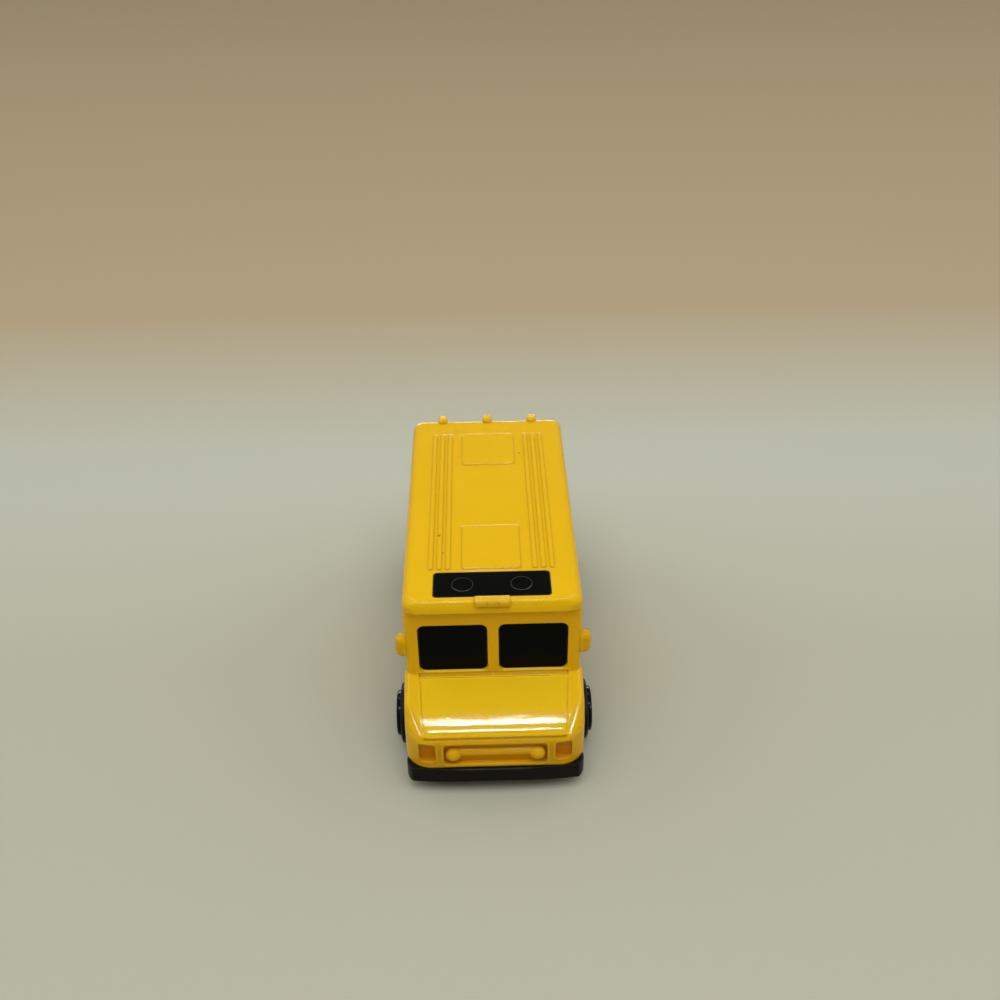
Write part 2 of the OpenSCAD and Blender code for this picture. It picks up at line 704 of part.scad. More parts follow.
// Tail lamps, door hinges and the door handle
module tail_detail() {
    l = 2*tail_proud + over;
    y = tail_y + tail_proud - l/2;
    for (s = [-1, 1]) {
        translate([s*(half_w - tail_lamp_w), y, sill_z + tail_lamp_h])
            soft_block(tail_lamp_w, l, tail_lamp_h, 0.3, 0.3);
        for (i = [-1, 0, 1]) translate([s*tail_door_w/2, y, tail_mid_z + i*(tail_door_h/2 - hinge_set)])
            soft_block(hinge_w, l, hinge_h, 0.25, 0.25);
    }
    translate([handle_x, y, tail_mid_z]) soft_block(handle_w, l, handle_h, 0.25, 0.25);
}

module body_shell() {
    color("gold") difference() {
        union() {
            difference() {
                union() {
                    roof_cap();
                    lower_body();
                    nose();
                    nose_bezels();
                    cowl();
                    mirrors();
                    side_rails();
                    roof_detail();
                    tail_detail();
                }
                nose_cuts();
                seams();
                difference() {
                    cavity();
                    posts();
                }
            }
            grille_bar();
        }
        body_openings();
    }
}

// Window insert

// Lining of the cab, open below and behind
module insert_lining() {
    x = inner_x - fit_gap;
    y0 = cab_y + fit_gap;
    z0 = cowl_z;
    z1 = ceiling_z - fit_gap;
    difference() {
        translate([-x, y0, z0]) cube([2*x, insert_y - y0, z1 - z0]);
        translate([insert_t - x, y0 + insert_t, z0 - over])
            cube([2*(x - insert_t), insert_y - y0, z1 - insert_t - z0 + over]);
    }
}
module window_insert() {
    rise = wall + fit_gap + insert_t/2;
    depth = rise - pane_recess;
    color("black") difference() {
        union() {
            insert_lining();
            translate([0, screen_y + pane_recess + depth/2, 0]) along_y(depth) screen_panes(fit_gap);
            for (s = [-1, 1]) translate([s*(half_w - pane_recess - depth/2), 0, 0])
                along_x(depth) side_panes(fit_gap);
            translate([0, 0, roof_z - rise]) linear_extrude(rise) roof_opening(fit_gap);
        }
        for (s = [-1, 1]) {
            translate([s*mark_x, panel_y, roof_z - mark_depth]) cylinder(h = 1, d = mark_d);
            translate([s*stud_x, stud_y, ceiling_z - 3*insert_t])
                cylinder(h = 4*insert_t, d = stud_d + 2*fit_gap);
        }
    }
}

// Base

lip_x = inner_x - fit_gap;
lip_y = back_y - fit_gap;
boss_d = rivet_head_d + 2*boss_wall;
bow_r = (base_w*base_w/4 + bumper_bow*bumper_bow)/(2*bumper_bow);

module wheel_wells(grow) {
    for (y = axle_ys, s = [-1, 1])
        translate([s*(well_x - grow + base_w/2), y]) square([base_w, 2*(arch_r + grow)], center = true);
}
module base_plan() {
    difference() {
        union() {
            square([2*(half_w - sill_inset), overall_l - bumper_l], center = true);
            for (s = [-1, 1]) intersection() {
                round_rect(base_w, overall_l, bumper_r);
                translate([0, s*(overall_l - bumper_l)/2]) square([base_w, bumper_l], center = true);
                translate([0, s*(overall_l/2 - bow_r)]) circle(bow_r, $fn = 720);
            }
        }
        wheel_wells(0);
    }
}
module base_pocket() {
    difference() {
        round_rect(2*(lip_x - lip_t), 2*(lip_y - lip_t), pocket_r);
        wheel_wells(well_wall);
    }
}
module base_lip() {
    difference() {
        translate([-lip_x, front_axle_y]) square([2*lip_x, lip_y - front_axle_y]);
        translate([lip_t - lip_x, front_axle_y - lip_t]) square([2*(lip_x - lip_t), lip_y - front_axle_y]);
        wheel_wells(well_wall + fit_gap);
        translate([0, lip_y]) square([post_d + 2*fit_gap, 4*lip_t], center = true);
    }
}

// Shallow fields that leave the two frame rails and their cross members standing
module underside_fields() {
    field_w = well_x - frame_rail_w;
    side_w = half_w - sill_inset - field_w/2 - 2*frame_rail_w;
    bay_l = (wheelbase - 2*arch_r)/2 - frame_rail_w;
    mid_y = front_axle_y + wheelbase/2;
    for (s = [-1, 1]) {
        y = mid_y + s*(bay_l + frame_rail_w)/2;
        translate([0, y]) round_rect(field_w, bay_l, field_r);
        for (sx = [-1, 1]) translate([sx*(field_w/2 + frame_rail_w + side_w/2), y])
            round_rect(side_w, bay_l, field_r);
    }
    for (y = axle_ys) translate([0, y]) round_rect(field_w, 2*arch_r - frame_rail_w, field_r);
}
module axle_tower(y, s) {
    h = axle_z + axle_d - ground_gap;
    translate([s*(well_x - tower_w/2), y, ground_gap + h/2]) cube([tower_w, tower_l, h], center = true);
}
module axle_seat(y) {
    translate([0, y, axle_z]) {
        rotate([0, 90, 0]) cylinder(h = 2*well_x + 1, d = axle_d + 2*running_gap, center = true);
        translate([0, 0, axle_d]) cube([2*well_x + 1, axle_d*snap_share, 2*axle_d], center = true);
    }
}
module chassis_base() {
    mid_z = ground_gap + bumper_h/2;
    color("dimgray") difference() {
        union() {
            difference() {
                intersection() {
                    translate([0, 0, ground_gap]) linear_extrude(bumper_h) base_plan();
                    translate([0, 0, mid_z]) along_x(base_w + 1) round_rect(overall_l, bumper_h, base_edge_r);
                    translate([0, 0, mid_z]) along_y(overall_l + 1) round_rect(base_w, bumper_h, base_edge_r);
                }
                translate([0, 0, ground_gap + floor_t]) linear_extrude(bumper_h) base_pocket();
            }
            for (y = axle_ys, s = [-1, 1]) axle_tower(y, s);
            for (y = post_ys) translate([0, y, ground_gap]) cylinder(h = bumper_h, d = boss_d);
            translate([0, 0, sill_z - lip_t]) linear_extrude(2*lip_t) base_lip();
        }
        translate([0, 0, ground_gap - 1]) linear_extrude(1 + field_depth) underside_fields();
        for (y = axle_ys) axle_seat(y);
        for (y = post_ys) translate([0, y, ground_gap]) {
            cylinder(h = bumper_h + 1, d = rivet_d + 2*fit_gap);
            translate([0, 0, -1]) cylinder(h = 1 + rivet_head_h + rivet_set, d = rivet_head_d + 6*fit_gap);
        }
    }
}

// Rivets, with heads sunk into the base

module rivet(y) {
    translate([0, y, ground_gap + rivet_set]) color("silver") {
        cylinder(h = rivet_head_h, d = rivet_head_d);
        cylinder(h = bumper_h - rivet_set + rivet_grip, d = rivet_d);
    }
}
module front_rivet() rivet(front_post_y);
module rear_rivet() rivet(rear_post_y);

// Axles, flattened to a head at both ends

head_x = disc_x - axle_head_set - axle_head_t;
module axle(y) {
    color("silver") translate([0, y, axle_z]) {
        rotate([0, 90, 0]) cylinder(h = 2*head_x + axle_head_t, d = axle_d, center = true);
        for (s = [-1, 1]) translate([s*(head_x + axle_head_t/2), 0, 0])
            rotate([0, 90, 0]) cylinder(h = axle_head_t, d = axle_head_d, center = true);
    }
}
module front_axle() axle(front_axle_y);
module rear_axle() axle(rear_axle_y);

// Wheels: a disc with a tyre between its two flanges, drawn for the +X side

module wheel_disc() {
    face_r = disc_d/2;
    edge_r = disc_proud/2;
    hub_r = axle_head_d/2 + hub_wall;
    dish_x = disc_x - dish_depth;
    color("black") difference() {
        about_x() difference() {
            union() {
                translate([0, disc_in_x]) square([face_r, rim_flange]);
                translate([0, disc_in_x]) square([seat_r, tyre_w + 2*rim_flange]);
                translate([0, tyre_out_x]) square([face_r, disc_proud - edge_r]);
                translate([0, tyre_out_x]) square([face_r - edge_r, disc_proud]);
                translate([face_r - edge_r, disc_x - edge_r]) circle(edge_r);
            }
            translate([hub_r, dish_x]) square([face_r - rim_w - hub_r, 1]);
            translate([-1, head_x - running_gap]) square([1 + axle_head_d/2 + 3*running_gap, 2]);
            translate([-1, 0]) square([1 + axle_d/2 + running_gap, 2*disc_x]);
        }
        for (a = [0 : 60 : 300]) rotate([a, 0, 0])
            translate([dish_x - dimple_depth, 0, (face_r - rim_w + hub_r)/2]) rotate([0, 90, 0])
                cylinder(h = 2*dish_depth + dimple_depth, d = dimple_d);
    }
}
module tyre() {
    h = tyre_d/2 - seat_r;
    color("black") about_x() translate([seat_r + h/2, tyre_in_x + tyre_w/2])
        round_rect(h, tyre_w, tyre_edge_r);
}
module on_axle(y, s) {
    translate([0, y, axle_z]) if (s > 0) children(); else mirror([1, 0, 0]) children();
}
module wheel_front_left() on_axle(front_axle_y, 1) wheel_disc();
module wheel_front_right() on_axle(front_axle_y, -1) wheel_disc();
module wheel_rear_left() on_axle(rear_axle_y, 1) wheel_disc();
module wheel_rear_right() on_axle(rear_axle_y, -1) wheel_disc();
module tyre_front_left() on_axle(front_axle_y, 1) tyre();
module tyre_front_right() on_axle(front_axle_y, -1) tyre();
module tyre_rear_left() on_axle(rear_axle_y, 1) tyre();
module tyre_rear_right() on_axle(rear_axle_y, -1) tyre();

body_shell();
window_insert();
chassis_base();
front_rivet();
rear_rivet();
front_axle();
rear_axle();
wheel_front_left();
wheel_front_right();
wheel_rear_left();
wheel_rear_right();
tyre_front_left();
tyre_front_right();
tyre_rear_left();
tyre_rear_right();
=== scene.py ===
"""Looks of the die-cast toy step van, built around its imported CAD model."""
import math

import bpy
from mathutils import Matrix, Vector

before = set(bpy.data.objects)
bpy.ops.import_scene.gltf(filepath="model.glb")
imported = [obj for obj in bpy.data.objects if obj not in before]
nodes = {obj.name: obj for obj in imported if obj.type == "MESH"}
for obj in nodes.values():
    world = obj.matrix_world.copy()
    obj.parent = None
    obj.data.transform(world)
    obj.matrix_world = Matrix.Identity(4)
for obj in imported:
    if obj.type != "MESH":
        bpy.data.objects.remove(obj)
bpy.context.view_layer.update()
scene = bpy.context.scene
MM = 0.001

# Names of the pieces that share a finish
ENDS = [f"{end}_{side}" for end in ("front", "rear") for side in ("left", "right")]
DISCS = [f"wheel_{end}" for end in ENDS]
TYRES = [f"tyre_{end}" for end in ENDS]
AXLES = ["front_axle", "rear_axle"]
RIVETS = ["front_rivet", "rear_rivet"]


def rgb(r, g, b):
    """Linear colour from sRGB values of 0 to 255."""
    def one(c):
        c /= 255
        return c/12.92 if c <= 0.04045 else ((c + 0.055)/1.055)**2.4
    return (one(r), one(g), one(b), 1.0)


def shaded(tint, share):
    """The same colour, darker or lighter by a factor."""
    return tuple(share*c for c in tint[:3]) + (1.0,)


# Front and rear of the hood, in mm, and how far its sheet leans forward along the way:
# a soft roll, a thin bead and a shallow dip at the front, then a gentle crown
HOOD_FRONT, HOOD_REAR = -33.6, -24.4
HOOD_LEAN = ((-33.6, -1.6), (-33.2, -0.72), (-32.98, -0.63), (-32.8, -0.68), (-32.5, -0.71),
             (-32.15, -0.665), (-31.4, -0.632), (-24.4, -0.41))
# Slope of the sheet across the van, per metre from its middle
HOOD_CROWN = 2.0
# Facets belong to the sheet by how far their normals point up and to the side
HOOD_LEVEL = (0.78, 0.82)
HOOD_ASIDE = (0.02, 0.06)
# Widths of the sheet's soft ends, in mm
HOOD_FADE_FRONT, HOOD_FADE_REAR = 0.2, 0.1

# Brow of the roof, in mm: its front face, the radius of its roll, the top of the roof, the foot of
# the brow and how far it runs straight to each side
BROW_FACE, BROW_ROLL, ROOF_TOP, BROW_FOOT, BROW_SIDE = -25.1, 1.6, 35.0, 32.6, 13.1
# Where its coat ends, in mm: off its surface, past its straight run, above its foot and behind the
# axis of its roll
BROW_OFF, BROW_PAST, BROW_ABOVE, BROW_BEHIND = (0.04, 0.08), (-0.5, 0.4), (0.02, 0.1), (-0.2, 0.1)
# How far its coat leans forward, by height
BROW_LEAN = ((32.6, -2.5), (33.9, -2.5), (34.3, -2.1), (34.56, -1.3), (34.68, -0.36), (34.82, 0.0),
             (35.0, 0.0))

# Yellow of the enamel: its two tones, painted shade near the ground, painted shade in corners
# where the paint also pools, painted light lifting the shade in the deepest corners above the foot
# of the hood, thinner paint with a painted highlight on edges, and the grains caught in it
YELLOW = (rgb(226, 178, 4), rgb(234, 186, 8))
YELLOW_LOW_SHADE = rgb(208, 142, 2)
YELLOW_POOLED_AND_SHADE = rgb(186, 108, 2)
YELLOW_GROOVE_LIGHT = rgb(242, 200, 24)
YELLOW_THIN_AND_LIT = rgb(236, 198, 60)
GRAIN = rgb(96, 62, 6)
# The most that each of them covers
LOW_SHADE_SHARE, POOLED_SHADE_SHARE, GROOVE_LIGHT_SHARE, THIN_AND_LIT_SHARE, GRAIN_SHARE = 0.4, 0.6, 0.7, 0.25, 0.75
# Heights in mm between which the painted shade near the ground ends, and the foot of the hood lies
LOW_SHADE_END = (7.0, 15.0)
HOOD_FOOT = (12.6, 12.9)
# Depth of a corner, from 0 to 1, from which it counts as one of the deepest, where painted light
# lifts its shade
DEEPEST = 0.7

# Places of painted light and shade, and the amber tint of the corner lamps: corners of the place
# in mm, share and tint
# Painted light on the top of the hood; painted shade on the face of the cab
PAINTED_LIGHT_AND_SHADE = (((0, -33.6, 12.7), (13.0, -24.9, 20.0), 0.6, rgb(232, 192, 2)),      # top of the hood
         ((0, -24.2, 19.0), (14.6, -24.0, 33.0), 0.5, rgb(242, 179, 5)),      # face of the cab
         # Painted highlights on the sills and in the gap behind the hood; painted shade on the
         # cowl and in the gap under the hood
         ((1.0, -24.15, 18.6), (13.4, -23.6, 18.8), 0.7, rgb(252, 216, 60)),  # sills of the panes
         ((0, -24.6, 17.9), (13.0, -24.1, 18.6), 0.7, rgb(200, 146, 2)),      # cowl
         ((0, -24.95, 17.6), (12.8, -24.7, 18.1), 0.8, rgb(255, 226, 60)),    # gap behind the hood
         ((0, -34.4, 12.3), (12.2, -33.8, 12.5), 0.7, rgb(140, 84, 2)),       # gap under the hood
         # Amber tint of the corner lamps, also painting shade over their lit ledges; painted shade
         # on the floor of the grille and on the mirrors
         ((10.3, -34.4, 7.4), (13.1, -33.1, 11.4), 1.0, rgb(208, 142, 2)),    # corner lamps
         ((0, -33.55, 6.5), (8.9, -33.4, 11.3), 0.6, rgb(196, 118, 2)),       # floor of the grille
         ((15.4, -27.0, 20.0), (18.0, -21.0, 30.0), 0.35, rgb(204, 132, 2)))  # mirrors
# Width of the soft edge around such a place, in mm
PAINTED_BOX_FADE = 0.12

# Dark grains in the enamel of the roof: place and radius in mm
SPECKS = (((-9.17, -6.68, 35.3), 0.36), ((-8.38, -11.42, 35.0), 0.22), ((6.14, 20.68, 35.0), 0.26))

# Range that most of a noise pattern lies in
NOISE_RANGE = (0.3, 0.7)
# Samples of the edge and corner masks, and the ranges of openness that they take up
MASK_SAMPLES = 6
HOLLOW_RANGE = (0.35, 0.95)
EDGE_RANGE = (0.55, 0.98)

# Floor: half its width in m, its tint near the camera, the tints further back with the range of Y
# where each takes over, and the tint far from the van with the range of distance
FLOOR_HALF = 3.0
FLOOR_FRONT = rgb(183, 183, 166)
FLOOR_BACK = ((0.0, 0.06, rgb(191, 194, 180)), (0.08, 0.16, rgb(184, 168, 138)))
FLOOR_FAR = (0.72, 1.3, rgb(244, 240, 230))
FLOOR_ROUGH = 0.75

# Soft sky, warm at the horizon, neutral overhead and dimmer ahead of the van, and the plain grey
# that the camera and the reflections see in its place
SKY_LOW = (0.40, 0.30, 0.16, 1.0)
SKY_HIGH = (0.475, 0.50, 0.51, 1.0)
SKY_FRONT = 0.8
SKY_FRONT_END = 0.4
SKY_SEEN = (0.45, 0.44, 0.40, 1.0)

# Wide soft lamps on both sides and on top: place, aim and size in m, and watts
SIDE_LAMPS = (((-0.5, 0.1, 0.5), (0, 0.05, 0), (1.0, 0.6), 1.05),
              ((0.5, 0.1, 0.5), (0, 0.05, 0), (1.0, 0.6), 1.05))
TOP_LAMP = ((0, -0.2, 0.58), (0, 0, 0), (0.5, 0.4), 1.68)

# Narrow lamps that only show as reflections, given in the same way
GLINTS = (((0, -0.125, 0.25), (0, -0.031, 0.014), (0.072, 0.012), 0.34),          # over the hood
          ((0, 0.25, 0.45), (0, 0, 0.035), (0.3, 0.12), 0.5),                     # over the tail
          ((0, 0.5, 0.1), (0, 0.035, 0.02), (0.5, 0.03), 1.6),                    # behind
          ((-0.27, -0.23, 0.24), (-0.014, -0.032, 0.014), (0.022, 0.022), 0.16),  # right fender
          ((-0.4, 0.02, 0.3), (0, 0, 0.02), (0.04, 0.4), 0.3),                    # right side
          ((0.27, -0.23, 0.24), (0.014, -0.032, 0.014), (0.034, 0.034), 0.56),    # left fender
          ((0.4, 0.02, 0.3), (0, 0, 0.02), (0.04, 0.4), 0.3))                     # left side

# Camera, solved from the photograph: focal length and frame in pixels, place in mm, turns in
# degrees
FOCAL_PX = 1160.0
FRAME_PX = 1000.0
CAMERA_PLACE = (-1.02, -173.3, 157.9)
YAW, PITCH, ROLL = -0.967, 34.652, -0.753
SENSOR_WIDTH = 36.0
CLIP_START = 0.01


# Node helpers, each with the node tree first

def put(tree, kind, settings=None, **inputs):
    """Adds a shader node, with its settings and with its inputs set or linked."""
    node = tree.nodes.new("ShaderNode" + kind)
    for key, value in (settings or {}).items():
        setattr(node, key, value)
    for key, value in inputs.items():
        plug(tree, node, key.replace("_", " "), value)
    return node


def plug(tree, node, key, value):
    """Sets an input by its name or number, or links it where the value is a socket."""
    socket = node.inputs[int(key)] if key.isdigit() else node.inputs[key]
    if isinstance(value, bpy.types.NodeSocket):
        tree.links.new(value, socket)
    else:
        socket.default_value = value


def maths(tree, operation, a, b=0.0):
    """Result of a maths node."""
    return put(tree, "Math", {"operation": operation}, **{"0": a, "1": b}).outputs[0]


def vector(tree, operation, a, **inputs):
    """Outputs of a vector maths node."""
    return put(tree, "VectorMath", {"operation": operation}, **{"0": a}, **inputs).outputs


def times(tree, product, *factors):
    """Product of two or more values."""
    for factor in factors:
        product = maths(tree, "MULTIPLY", product, factor)
    return product


def split(tree, value):
    """Outputs X, Y and Z of a vector."""
    return put(tree, "SeparateXYZ", Vector=value).outputs


def spread(tree, value, low, high, to_low=0.0, to_high=1.0):
    """Maps a value from one range to another, and clamps it."""
    node = put(tree, "MapRange", {"clamp": True}, Value=value, From_Min=low, From_Max=high,
               To_Min=to_low, To_Max=to_high)
    return node.outputs["Result"]


def vary(tree, pattern, low, high):
    """Runs from low to high over the range that most of a noise pattern lies in."""
    return spread(tree, pattern, *NOISE_RANGE, low, high)


def profile(tree, value, knots):
    """Joins (value, result) knots, in rising order of value, with straight lines."""
    total = knots[0][1]
    for (low, before), (high, after) in zip(knots, knots[1:]):
        total = maths(tree, "ADD", spread(tree, value, low, high, 0.0, after - before), total)
    return total


def blend(tree, share, a, b):
    """Mixes two colours."""
    return put(tree, "Mix", {"data_type": "RGBA"}, **{"0": share, "6": a, "7": b}).outputs[2]


def noise(tree, where, size, detail=3.0, rough=0.5, stretch=None):
    """Noise whose features are about size metres across."""
    if stretch:
        where = put(tree, "Mapping", Vector=where, Scale=stretch).outputs["Vector"]
    node = put(tree, "TexNoise", Vector=where, Scale=1/size, Detail=detail, Roughness=rough)
    return node.outputs["Fac"]


def boxed(tree, at, low, high):
    """1 inside a box, given by its corners in mm, on both sides of the van, and 0 outside it."""
    shares = []
    for value, start, end in zip((maths(tree, "ABSOLUTE", at["X"]), at["Y"], at["Z"]), low, high):
        middle, half = 0.5*(start + end)*MM, 0.5*(end - start)*MM
        away = maths(tree, "ABSOLUTE", maths(tree, "SUBTRACT", value, middle))
        shares.append(spread(tree, away, half, half + PAINTED_BOX_FADE*MM, 1.0, 0.0))
    return times(tree, *shares)


def specks(tree, where):
    """The grains of the roof, dark in the middle and fading outward."""
    total = 0.0
    for place, radius in SPECKS:
        away = vector(tree, "DISTANCE", where, **{"1": [c*MM for c in place]})["Value"]
        dark = spread(tree, away, 0.5*radius*MM, radius*MM, GRAIN_SHARE, 0.0)
        total = maths(tree, "ADD", dark, total)
    return total


class Finish:
    """A material with object coordinates, softened edges and masks for edges and corners."""

    def __init__(self, name, soften):
        self.material = bpy.data.materials.new(name)
        self.material.use_nodes = True
        self.tree = self.material.node_tree
        self.shader = self.tree.nodes["Principled BSDF"]
        self.where = put(self.tree, "TexCoord").outputs["Object"]
        bevel = put(self.tree, "Bevel", {"samples": MASK_SAMPLES}, Radius=soften)
        self.normal = bevel.outputs["Normal"]

    def openness(self, reach, inside):
        """How open a point is within reach, from 0 to 1, outside or inside the solid."""
        settings = {"samples": MASK_SAMPLES, "only_local": True, "inside": inside}
        return put(self.tree, "AmbientOcclusion", settings, Distance=reach).outputs["AO"]

    def hollow(self, reach):
        """0 on open faces, up to 1 in corners and grooves."""
        return spread(self.tree, self.openness(reach, inside=False), *HOLLOW_RANGE, 1.0, 0.0)

    def edge(self, reach):
        """0 on open faces, up to 1 on outer edges."""
        return spread(self.tree, self.openness(reach, inside=True), *EDGE_RANGE, 1.0, 0.0)

    def bump(self, height, depth):
        """Relief of depth metres on top of the normal so far."""
        bump = put(self.tree, "Bump", Height=height, Distance=depth, Normal=self.normal)
        self.normal = bump.outputs["Normal"]

    def tilt(self, share, across, along):
        """Leads a share of the normal over to that of a sheet with these two slopes."""
        sheet = put(self.tree, "CombineXYZ", X=across, Y=along, Z=1.0).outputs["Vector"]
        sheet = vector(self.tree, "NORMALIZE", sheet)["Vector"]
        mix = put(self.tree, "Mix", {"data_type": "VECTOR"},
                  **{"0": share, "4": self.normal, "5": sheet})
        self.normal = mix.outputs[1]

    def crown(self):
        """Shades the level strips of the hood as one sheet, gently crowned both ways."""
        t = self.tree
        at = split(t, self.where)
        facing = split(t, put(t, "NewGeometry").outputs["True Normal"])
        share = times(t, spread(t, facing["Z"], *HOOD_LEVEL),
                      spread(t, maths(t, "ABSOLUTE", facing["X"]), *HOOD_ASIDE, 1.0, 0.0),
                      spread(t, at["Y"], HOOD_REAR*MM, (HOOD_REAR + HOOD_FADE_REAR)*MM, 1.0, 0.0),
                      spread(t, at["Y"], HOOD_FRONT*MM, (HOOD_FRONT + HOOD_FADE_FRONT)*MM))
        lean = profile(t, at["Y"], [(y*MM, slope) for y, slope in HOOD_LEAN])
        self.tilt(share, maths(t, "MULTIPLY", at["X"], HOOD_CROWN), lean)

    def brow(self):
        """Shades the straight part of the brow as a tight roll over a face that leans back."""
        t = self.tree
        at = split(t, self.where)
        axis_y, axis_z = BROW_FACE + BROW_ROLL, ROOF_TOP - BROW_ROLL
        ahead = maths(t, "MINIMUM", maths(t, "SUBTRACT", at["Y"], axis_y*MM), 0.0)
        above = maths(t, "MAXIMUM", maths(t, "SUBTRACT", at["Z"], axis_z*MM), 0.0)
        squares = (maths(t, "POWER", maths(t, "ABSOLUTE", d), 2.0) for d in (ahead, above))
        reach = maths(t, "SQRT", maths(t, "ADD", *squares))
        off = maths(t, "ABSOLUTE", maths(t, "SUBTRACT", reach, BROW_ROLL*MM))
        aside = maths(t, "ABSOLUTE", at["X"])
        share = times(t, spread(t, off, *(d*MM for d in BROW_OFF), 1.0, 0.0),
                      spread(t, aside, *((BROW_SIDE + d)*MM for d in BROW_PAST), 1.0, 0.0),
                      spread(t, at["Z"], *((BROW_FOOT + d)*MM for d in BROW_ABOVE)),
                      spread(t, at["Y"], *((axis_y + d)*MM for d in BROW_BEHIND), 1.0, 0.0))
        lean = profile(t, at["Z"], [(z*MM, slope) for z, slope in BROW_LEAN])
        self.tilt(share, 0.0, lean)

    def set(self, **inputs):
        """Sets or links inputs of the shader."""
        for key, value in inputs.items():
            plug(self.tree, self.shader, key.replace("_", " "), value)

    def done(self):
        """The material, with the normal linked to its shader."""
        self.set(Normal=self.normal)
        return self.material


# Finishes

def enamel():
    """Thick gloss enamel over a zinc casting."""
    f = Finish("yellow_enamel", soften=0.45*MM)
    t = f.tree
    cloud = noise(t, f.where, size=9*MM, detail=4.0)
    wave = noise(t, f.where, size=4*MM, detail=2.0)
    peel = noise(t, f.where, size=0.55*MM, detail=2.0)
    at = split(t, f.where)
    even = blend(t, cloud, *YELLOW)
    # Painted shade near the ground, darker and more orange low on the body
    low = spread(t, at["Z"], *(z*MM for z in LOW_SHADE_END), LOW_SHADE_SHARE, 0.0)
    paint_and_painted_light = blend(t, low, even, YELLOW_LOW_SHADE)
    # Painted shade in corners and grooves, where the paint also pools
    corner = f.hollow(reach=0.9*MM)
    paint_and_painted_light = blend(t, times(t, maths(t, "POWER", corner, 2.0), POOLED_SHADE_SHARE), paint_and_painted_light, YELLOW_POOLED_AND_SHADE)
    # Painted light in the deepest corners above the foot of the hood, lifting their shade
    above_foot = spread(t, at["Z"], *(z*MM for z in HOOD_FOOT))
    groove_light = times(t, spread(t, corner, DEEPEST, 1.0, 0.0, GROOVE_LIGHT_SHARE), above_foot)
    paint_and_painted_light = blend(t, groove_light, paint_and_painted_light, YELLOW_GROOVE_LIGHT)
    # Painted light and shade in the listed places, and the amber tint of the corner lamps
    for lowest, highest, share, tint in PAINTED_LIGHT_AND_SHADE:
        paint_and_painted_light = blend(t, times(t, boxed(t, at, lowest, highest), share), paint_and_painted_light, tint)
    # Thinner paint and a painted highlight on outer edges
    paint_and_painted_light = blend(t, times(t, f.edge(reach=0.35*MM), THIN_AND_LIT_SHARE), paint_and_painted_light, YELLOW_THIN_AND_LIT)
    f.set(Base_Color=blend(t, specks(t, f.where), paint_and_painted_light, GRAIN))
    f.set(Roughness=vary(t, peel, 0.06, 0.1))
    f.set(Specular_IOR_Level=0.13)
    f.crown()
    f.brow()
    f.bump(wave, depth=0.02*MM)
    f.bump(peel, depth=0.012*MM)
    return f.done()


def gloss_black(name, tint, rough, dust, rim_highlight, mirror):
    """Polished black plastic with painted highlights on its rims and a little dust in its corners.
    """
    f = Finish(name, soften=0.12*MM)
    t = f.tree
    cloud = noise(t, f.where, size=5*MM, detail=4.0)
    wave = noise(t, f.where, size=3*MM, detail=2.0)
    base = blend(t, cloud, tint, shaded(tint, 1.5))
    motes = spread(t, noise(t, f.where, size=0.25*MM, detail=1.0), 0.68, 0.78, 0.0, 0.35)
    dusty = maths(t, "MAXIMUM", times(t, f.hollow(reach=0.7*MM), dust), times(t, motes, dust))
    # Painted highlight along the rims
    lit_rims = blend(t, times(t, f.edge(reach=0.15*MM), rim_highlight), base, rgb(112, 114, 104))
    f.set(Base_Color=blend(t, dusty, lit_rims, rgb(70, 68, 60)))
    f.set(Roughness=vary(t, cloud, rough, 1.6*rough))
    f.set(Specular_IOR_Level=mirror)
    f.bump(wave, depth=0.01*MM)
    return f.done()


def satin_black():
    """Moulded black plastic with a fine spark-eroded grain."""
    f = Finish("base_plastic", soften=0.15*MM)
    t = f.tree
    grain = noise(t, f.where, size=0.12*MM, detail=2.0)
    cloud = noise(t, f.where, size=7*MM, detail=4.0)
    base = blend(t, cloud, rgb(8, 9, 7), rgb(15, 16, 13))
    f.set(Base_Color=blend(t, times(t, f.edge(reach=0.3*MM), 0.3), base, rgb(48, 48, 46)))
    f.set(Roughness=vary(t, grain, 0.3, 0.46))
    f.set(Specular_IOR_Level=0.1)
    f.bump(grain, depth=0.006*MM)
    return f.done()


def tread():
    """Black tyre plastic, scuffed and a little dusty."""
    f = Finish("tyre_plastic", soften=0.15*MM)
    t = f.tree
    grain = noise(t, f.where, size=0.15*MM)
    scuff = noise(t, f.where, size=1.2*MM, detail=4.0, rough=0.6, stretch=(4, 1, 1))
    base = blend(t, scuff, rgb(8, 8, 7), rgb(15, 15, 13))
    f.set(Base_Color=blend(t, spread(t, scuff, 0.55, 0.8, 0.0, 0.2), base, rgb(58, 55, 48)))
    f.set(Roughness=vary(t, grain, 0.34, 0.5))
    f.set(Specular_IOR_Level=0.12)
    f.bump(grain, depth=0.008*MM)
    return f.done()


def steel(name, along, shade):
    """Bright drawn or headed metal, with fine lines along one axis."""
    f = Finish(name, soften=0.08*MM)
    t = f.tree
    drawn = tuple(0.06 if axis == along else 1 for axis in range(3))
    lines = noise(t, f.where, size=0.15*MM, rough=0.6, stretch=drawn)
    stain = noise(t, f.where, size=1.5*MM, detail=4.0)
    bright = blend(t, lines, shade, shaded(shade, 0.8))
    f.set(Base_Color=blend(t, spread(t, stain, 0.55, 0.8, 0.0, 0.4), bright, rgb(122, 112, 98)))
    f.set(Metallic=1.0)
    f.set(Roughness=vary(t, lines, 0.26, 0.42))
    f.bump(lines, depth=0.004*MM)
    return f.done()


def dress(names, material):
    """Gives CAD nodes a material."""
    for name in names:
        mesh = nodes[name].data
        mesh.materials.clear()
        mesh.materials.append(material)


